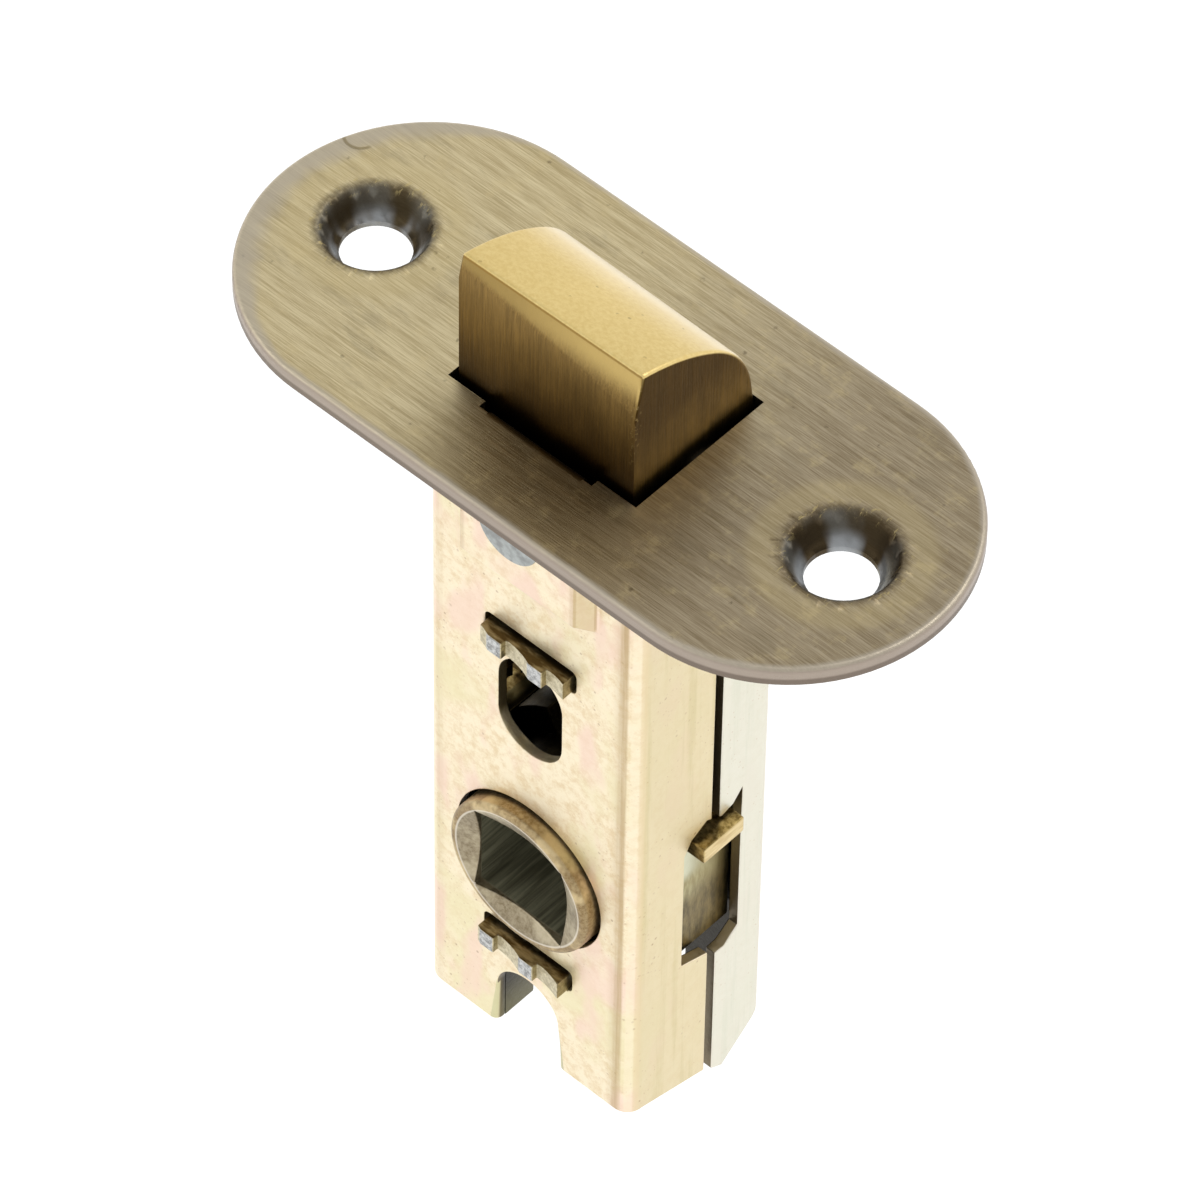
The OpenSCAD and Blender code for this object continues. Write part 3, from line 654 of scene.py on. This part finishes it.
def staked_finish(kit: Kit) -> bpy.types.Material:
    """Makes bare steel: brown on its top as a painted dark reflection, silvery on the teeth and tan in the
    scoops between them.

    Args:
        kit: The shared node groups; not used.

    Returns:
        The material.
    """
    paint = start_paint(Metal("staked_steel", 1.0, 0.4))
    graph = paint.graph
    grain = graph.noise(paint.place, 3.2, 4, 0.7)
    fine = graph.step(grain, 0.36, 0.64)
    end = graph.math("ABSOLUTE", paint.ny)
    paint.tone = graph.mix(fine, linear(132, 120, 84), linear(166, 152, 112))
    paint.lay(graph.step(end, 0.35, 0.6), graph.mix(fine, linear(176, 164, 132), linear(216, 206, 176)))
    tooth = graph.both(graph.step(end, 0.9, 0.98), graph.step(graph.math("ABSOLUTE", paint.y), 8.2, 8.27))
    paint.lay(tooth, graph.mix(fine, linear(140, 140, 138), linear(212, 212, 210)))
    # Brown, streaked tops: a painted dark reflection
    top = graph.step(paint.nz, 0.35, 0.8)
    streak = graph.step(graph.noise(graph.stretch(paint.place, (0.5, 1.5, 1)), 1.1, 3), 0.42, 0.66)
    paint.lay(top, graph.mix(streak, linear(84, 68, 40), linear(150, 136, 104)))
    paint.roughness(graph.math("ADD", graph.both(grain, 0.25), 0.26))
    paint.bump(grain, 0.04)
    return paint.material


def lug_finish(kit: Kit) -> bpy.types.Material:
    """Makes the retractor's sides: greenish brushed zinc with painted light and shade in the side slot and
    near black painted shade inside, with brown lugs in painted shade and pale lug ends.

    Args:
        kit: The shared node groups.

    Returns:
        The material.
    """
    paint = start_paint(Metal("lug_zinc", 1.0, 0.32, 0.3))
    graph = paint.graph
    lines = graph.group(kit.brushing, {"Vector": graph.stretch(paint.place, (1.0, 0.5, 0.12))}).outputs[0]
    paint.tone = graph.mix(graph.both(lines, 0.6), linear(150, 136, 90), linear(212, 206, 164))
    # Painted light on the sheet where light comes in through the slot, and painted shadow towards +Y
    pale = graph.band(paint.z, -42.6, 0.8, 1.6)
    paint.lay(graph.both(pale, graph.step(paint.y, 2.2, -0.6), 0.75), linear(222, 224, 198))
    paint.lay(graph.both(graph.step(paint.y, -0.4, 2.6), 0.7), linear(150, 134, 84))
    # Darker brushed colours lower down
    darker_below = graph.mix(lines, linear(62, 50, 24), linear(128, 108, 62))
    paint.lay(graph.both(graph.step(paint.z, -45.0, -48.0), 0.85), darker_below)
    # Painted shade at the top
    paint.lay(graph.both(graph.step(paint.z, -41.6, -40.6), 0.7), linear(110, 96, 58))
    # Painted shade, near black, on what lies inside the case
    far_x = graph.math("ABSOLUTE", paint.x)
    paint.lay(graph.step(far_x, 8.2, 7.6), linear(44, 37, 20))
    # The lug, brown as painted shade over its grain
    out = graph.both(graph.step(far_x, 8.55, 8.7), graph.step(paint.z, -44.6, -44.0))
    grain = graph.noise(paint.place, 2.4, 4, 0.7)
    paint.lay(out, graph.mix(graph.step(grain, 0.36, 0.64), linear(118, 98, 56), linear(176, 154, 102)))
    tip = graph.step(graph.math("ABSOLUTE", paint.nx), 0.6, 0.9)
    sheen = graph.step(graph.noise(graph.stretch(paint.place, (1, 0.25, 1.2)), 1.5, 3, 0.6), 0.36, 0.64)
    paint.lay(graph.both(out, tip), graph.mix(sheen, linear(206, 180, 126), linear(228, 206, 154)))
    paint.roughness(graph.math("ADD", graph.both(grain, 0.2), 0.22))
    paint.bump(grain, 0.015)
    return paint.material


@dataclass(frozen=True)
class Grained:
    """A plain metal with a fine grain between two colours."""

    metal: Metal
    dark: tuple
    light: tuple
    scale: float
    depth: float
    stretch: tuple = (1.0, 1.0, 1.0)


RIVET = Grained(Metal("rivet_steel", 0.8, 0.5), linear(150, 152, 150), linear(184, 188, 186), 1.4, 0.02)
# Retractor plates' yellow steel, darkened as painted shade inside the case
STRAP = Grained(Metal("yellow_steel", 0.95, 0.36), linear(92, 78, 46), linear(138, 120, 78), 1.8, 0.02)
BARE = Grained(Metal("turned_steel", 1.0, 0.35), linear(120, 122, 122), linear(180, 182, 182), 1.6, 0.015,
               (1, 0.2, 1))
WIRE = Grained(Metal("spring_wire", 1.0, 0.3), linear(108, 108, 110), linear(170, 170, 172), 2.6, 0.01,
               (1, 1, 3))


def grained_finish(kit: Kit, look: Grained) -> bpy.types.Material:
    """Makes a plain metal with fine grain and a few specks.

    Args:
        kit: The shared node groups.
        look: Its values.

    Returns:
        The material.
    """
    paint = start_paint(look.metal)
    graph = paint.graph
    grain = graph.noise(graph.stretch(paint.place, look.stretch), look.scale, 4, 0.7)
    paint.tone = graph.mix(graph.step(grain, 0.34, 0.66), look.dark, look.light)
    paint.specks(kit, 1.9, 0.15, 0.4, linear(90, 80, 60))
    paint.roughness(graph.math("ADD", graph.both(grain, 0.2), look.metal.roughness - 0.1))
    paint.bump(grain, look.depth)
    return paint.material


def edit(piece: bpy.types.Object) -> None:
    """Opens a piece in edit mode with nothing selected.

    Args:
        piece: The piece.
    """
    bpy.ops.object.select_all(action="DESELECT")
    piece.select_set(True)
    bpy.context.view_layer.objects.active = piece
    bpy.ops.object.mode_set(mode="EDIT")
    bpy.ops.mesh.select_mode(type="VERT")
    bpy.ops.mesh.select_all(action="DESELECT")


def close_edit() -> None:
    """Leaves edit mode."""
    bpy.ops.object.mode_set(mode="OBJECT")


def weigh_normals(piece: bpy.types.Object) -> None:
    """Lets the large flat faces rule the shading of their rounded edges.

    Args:
        piece: The piece, which is the active object.
    """
    modifier = piece.modifiers.new("even shading", "WEIGHTED_NORMAL")
    modifier.keep_sharp = True
    modifier.weight = FACE_WEIGHT
    bpy.ops.object.modifier_apply(modifier=modifier.name)


class Rule(Enum):
    """What is done with the edges that lie in a box."""

    ADD = "add"
    KEEP = "keep"


def select_edges(piece: bpy.types.Object, low: tuple, high: tuple, rule: Rule) -> None:
    """Changes which edges of the open piece are selected, by place.

    Args:
        piece: The piece, open in edit mode.
        low: Lowest corner of the box, in millimetres.
        high: Its highest corner.
        rule: Selects the box's edges as well, or keeps only those of them that were selected.
    """
    mesh = bmesh.from_edit_mesh(piece.data)
    for edge in mesh.edges:
        held = all(low[i] <= vert.co[i] / MM <= high[i] for vert in edge.verts for i in range(3))
        if rule is Rule.ADD:
            edge.select_set(held or edge.select)
        else:
            edge.select_set(held and edge.select)
    mesh.select_flush_mode()
    bmesh.update_edit_mesh(piece.data)


def roll_dimples(piece: bpy.types.Object) -> None:
    """Replaces the ring round each pressed screw hole by one that rolls smoothly down from the face.

    Args:
        piece: The forend, open in edit mode with nothing selected.
    """
    for side in (-1, 1):
        mesh = bmesh.from_edit_mesh(piece.data)
        bpy.ops.mesh.select_mode(type="FACE")
        for face in mesh.faces:
            places = [vert.co / MM for vert in face.verts]
            reach = [math.hypot(place.x - side * SCREW_X, place.y) for place in places]
            in_ring = all(LIP_IN < r < LIP_OUT for r in reach)
            face.select_set(in_ring and all(place.z > LIP_LOW for place in places))
        bmesh.update_edit_mesh(piece.data)
        bpy.ops.mesh.delete(type="FACE")
        bpy.ops.mesh.select_mode(type="EDGE")
        mesh = bmesh.from_edit_mesh(piece.data)
        for edge in mesh.edges:
            edge.select_set(edge.is_boundary)
        bmesh.update_edit_mesh(piece.data)
        bpy.ops.mesh.bridge_edge_loops(number_cuts=RING_CUTS, interpolation="SURFACE", smoothness=1.0)
        bpy.ops.mesh.select_all(action="DESELECT")


@dataclass(frozen=True)
class Softened:
    """One CAD node shown with its sharp edges worn round.

    Edges that lie in the box rolled get ROLL_R first. Then sharp edges above floor get radius,
    which may be 0. A dimpled piece gets new rings round its screw holes.
    """

    node: str
    body: Body
    slot: Slot
    radius: float
    segments: int = 2
    floor: float = -EVERYWHERE
    rolled: tuple = ()
    dimpled: bool = False

    def make(self, material: bpy.types.Material) -> bpy.types.Object:
        """Copies the node's mesh, rounds its sharp edges and lets it stand for the node.

        Args:
            material: The piece's finish.

        Returns:
            The new piece.
        """
        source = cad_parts[self.node]
        piece = bpy.data.objects.new(self.node + "_worked", source.data.copy())
        bpy.context.scene.collection.objects.link(piece)
        edit(piece)
        bpy.ops.mesh.select_all(action="SELECT")
        bpy.ops.mesh.remove_doubles(threshold=SAME_PLACE * MM)
        bpy.ops.mesh.dissolve_limited(angle_limit=math.radians(SAME_PLANE))
        bpy.ops.mesh.select_all(action="DESELECT")
        bpy.ops.mesh.select_mode(type="EDGE")
        if self.dimpled:
            roll_dimples(piece)
        if self.rolled:
            select_edges(piece, *self.rolled, Rule.ADD)
            bpy.ops.mesh.bevel(offset=ROLL_R * MM, offset_type="OFFSET", segments=ROLL_SEGMENTS,
                               affect="EDGES")
            bpy.ops.mesh.select_all(action="DESELECT")
        if self.radius:
            bpy.ops.mesh.edges_select_sharp(sharpness=math.radians(SHARP_ABOVE))
            select_edges(piece, (-EVERYWHERE, -EVERYWHERE, self.floor), (EVERYWHERE,) * 3, Rule.KEEP)
            bpy.ops.mesh.bevel(offset=self.radius * MM, offset_type="OFFSET", segments=self.segments,
                               affect="EDGES", clamp_overlap=False)
        close_edit()
        bpy.ops.object.shade_smooth_by_angle(angle=math.radians(SMOOTH_BELOW))
        weigh_normals(piece)
        piece.data.materials.clear()
        piece.data.materials.append(material)
        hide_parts(self.node)
        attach(piece, self.body.value)
        return piece


@dataclass(frozen=True)
class NotchFold:
    """Edge of the rear notch that is turned into the case, on one side."""

    name: str
    side: int
    edge_x: float = 2.9
    sheet: float = 0.9
    outer_y: float = -6.2
    inner_y: float = -3.2
    low_z: float = -64.3
    high_z: float = -58.6

    def make(self, material: bpy.types.Material) -> bpy.types.Object:
        """Models the turned edge as a sheet with rounded free edges.

        Args:
            material: Its finish.

        Returns:
            The new piece.
        """
        size = (self.sheet, self.inner_y - self.outer_y, self.high_z - self.low_z)
        middle = (self.side * (self.edge_x + self.sheet / 2), (self.inner_y + self.outer_y) / 2,
                  (self.high_z + self.low_z) / 2)
        bpy.ops.object.select_all(action="DESELECT")
        bpy.ops.mesh.primitive_cube_add(size=1, location=[value * MM for value in middle])
        piece = bpy.context.object
        piece.name = self.name
        piece.scale = [value * MM for value in size]
        bpy.ops.object.transform_apply(location=True, rotation=True, scale=True)
        edit(piece)
        bpy.ops.mesh.select_mode(type="EDGE")
        select_edges(piece, (-EVERYWHERE, self.outer_y + 0.1, -EVERYWHERE), (EVERYWHERE,) * 3, Rule.ADD)
        bpy.ops.mesh.bevel(offset=FOLD_EDGE_R * MM, offset_type="OFFSET", segments=2, affect="EDGES")
        close_edit()
        bpy.ops.object.shade_smooth_by_angle(angle=math.radians(SMOOTH_BELOW))
        piece.data.materials.append(material)
        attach(piece, Body.CASE.value)
        return piece


@dataclass(frozen=True)
class Dressed:
    """One CAD node that keeps its mesh and gets a finish."""

    node: str

    def make(self, material: bpy.types.Material) -> bpy.types.Object:
        """Gives the node its finish.

        Args:
            material: The finish.

        Returns:
            The node's object.
        """
        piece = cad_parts[self.node]
        piece.data.materials.clear()
        piece.data.materials.append(material)
        return piece


def shorten(spring: bpy.types.Object) -> bpy.types.Object:
    """Gives the spring its own copy of its mesh.

    Args:
        spring: The spring's piece.

    Returns:
        The same piece.
    """
    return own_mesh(spring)


def build_latch(kit: Kit) -> list[bpy.types.Object]:
    """Dresses every piece of the latch.

    Args:
        kit: The shared node groups.

    Returns:
        The pieces.
    """
    staked = staked_finish(kit)
    strap = grained_finish(kit, STRAP)
    bare = grained_finish(kit, BARE)
    rivet = grained_finish(kit, RIVET)
    steel = Slot.RAW_STEEL
    front = shell_finish(kit, FRONT_ZINC)
    notch = ((-3.0, -7.15, -64.4), (3.0, -7.05, -59.8))
    made = [
        Softened("forend_plate", Body.CASE, Slot.FOREND, 0, dimpled=True).make(forend_finish(kit)),
        Softened("latch_bolt", Body.BOLT, Slot.BOLT, 0.3, 4, floor=-1.8).make(bolt_finish(kit)),
        Softened("case_front_shell", Body.CASE, Slot.CASE_FRONT, 0.1, rolled=notch).make(front),
        Softened("case_rear_shell", Body.CASE, Slot.CASE_REAR, 0.1).make(shell_finish(kit, REAR_ZINC)),
        Softened("follower_hub", Body.FOLLOWER, Slot.FOLLOWER, 0.12).make(follower_finish(kit)),
        NotchFold("rear_notch_fold_left", -1).make(front),
        NotchFold("rear_notch_fold_right", 1).make(front),
        shorten(Dressed("bolt_spring").make(grained_finish(kit, WIRE))),
        Dressed("spring_guide").make(bare),
    ]
    made += [Softened(name, Body.CASE, steel, 0.1).make(staked) for name in ("front_spacer", "rear_spacer")]
    rivets = ("leg_rivet_front", "leg_rivet_rear")
    made += [Softened(name, Body.CASE, steel, 0.12).make(rivet) for name in rivets]
    made += [Dressed(name).make(bare) for name in ("bolt_pin_right", "bolt_pin_left")]
    made += [Dressed(name).make(strap) for name in ("retractor_plate_front", "retractor_plate_rear")]
    lug = lug_finish(kit)
    bars = ("retractor_bar_right", "retractor_bar_left")
    made += [Softened(name, Body.BOLT, Slot.PLATED_STEEL, 0.15).make(lug) for name in bars]
    return made


def make_floor() -> None:
    """Makes the pale floor below the latch."""
    bpy.ops.mesh.primitive_plane_add(size=6, location=(0, 0, FLOOR_Z * MM))
    floor = bpy.context.object
    floor.name = "floor"
    material = bpy.data.materials.new("pale_floor")
    material.use_nodes = True
    shader = material.node_tree.nodes["Principled BSDF"]
    shader.inputs["Roughness"].default_value = 0.9
    shader.inputs["Specular IOR Level"].default_value = 0.1
    shader.inputs["Emission Strength"].default_value = 0.22
    shader.inputs["Emission Color"].default_value = (1, 1, 1, 1)
    graph = Graph(material.node_tree)
    place = graph.add("ShaderNodeTexCoord").outputs["Object"]
    tone = graph.mix(graph.noise(place, 4.0, 3), (0.93, 0.93, 0.93, 1), (0.97, 0.97, 0.965, 1))
    graph.tree.links.new(tone, shader.inputs["Base Color"])
    floor.data.materials.append(material)


@dataclass(frozen=True)
class Lamp:
    """One soft area light."""

    name: str
    place: tuple[float, float, float]
    size: float
    power: float

    def make(self) -> None:
        """Adds the light, aimed at the latch."""
        data = bpy.data.lights.new(self.name, "AREA")
        data.shape = "DISK"
        data.size = self.size
        data.energy = self.power
        lamp = bpy.data.objects.new(self.name, data)
        bpy.context.scene.collection.objects.link(lamp)
        lamp.location = Vector(self.place)
        aim = Vector((0, 0, -0.03)) - lamp.location
        lamp.rotation_mode = "QUATERNION"
        lamp.rotation_quaternion = aim.to_track_quat("-Z", "Y")


LAMPS = (
    Lamp("key", (0.5, 0.9, 1.1), 0.9, 4.0),
    Lamp("fill", (-0.9, -0.9, 0.7), 1.0, 2.0),
)


def light_studio() -> None:
    """Makes the soft white surroundings and the lights."""
    world = bpy.data.worlds.new("studio")
    bpy.context.scene.world = world
    world.use_nodes = True
    sky = world.node_tree.nodes["Background"]
    graph = Graph(world.node_tree)
    direction = graph.add("ShaderNodeTexCoord").outputs["Generated"]
    height = graph.add("ShaderNodeSeparateXYZ", {0: direction}).outputs[2]
    tone = graph.mix(graph.step(height, -0.1, 1.0), (1.0, 1.0, 1.0, 1), (0.78, 0.79, 0.8, 1))
    world.node_tree.links.new(tone, sky.inputs["Color"])
    sky.inputs["Strength"].default_value = 0.95
    for lamp in LAMPS:
        lamp.make()


@dataclass(frozen=True)
class Shot:
    """The photograph's camera."""

    place: tuple[float, float, float]
    azimuth: float
    elevation: float
    roll: float
    lens: float
    sensor: float

    def make(self) -> None:
        """Adds the camera and makes it the scene's."""
        a, e, r = (math.radians(angle) for angle in (self.azimuth, self.elevation, self.roll))
        back = Vector((math.sin(a) * math.cos(e), -math.cos(a) * math.cos(e), math.sin(e)))
        right = Vector((math.cos(a), math.sin(a), 0))
        up = back.cross(right)
        turned_right = math.cos(r) * right + math.sin(r) * up
        turned_up = math.cos(r) * up - math.sin(r) * right
        turn = Matrix((turned_right, turned_up, back)).transposed()
        data = bpy.data.cameras.new("camera")
        data.lens = self.lens
        data.sensor_width = self.sensor
        data.clip_start = 0.01
        data.clip_end = 20
        camera = bpy.data.objects.new("camera", data)
        camera.matrix_world = Matrix.Translation(Vector(self.place) * MM) @ turn.to_4x4()
        bpy.context.scene.collection.objects.link(camera)
        bpy.context.scene.camera = camera


PHOTO = Shot((266.96, -298.40, 459.87), 41.93, 50.20, 0.93, 283.9, 36.0)


def main() -> None:
    """Builds the scene and logs each piece of the latch."""
    logging.basicConfig(level=logging.INFO, format="%(message)s")
    bpy.context.scene.view_settings.view_transform = "Standard"
    PHOTO.make()
    kit = Kit(brushing_group(), speckle_group(), passivate_group())
    for piece in build_latch(kit):
        LOG.info("%s: %d faces, %s", piece.name, len(piece.data.polygons), piece.data.materials[0].name)
    make_floor()
    light_studio()


if __name__ == "__main__":
    main()
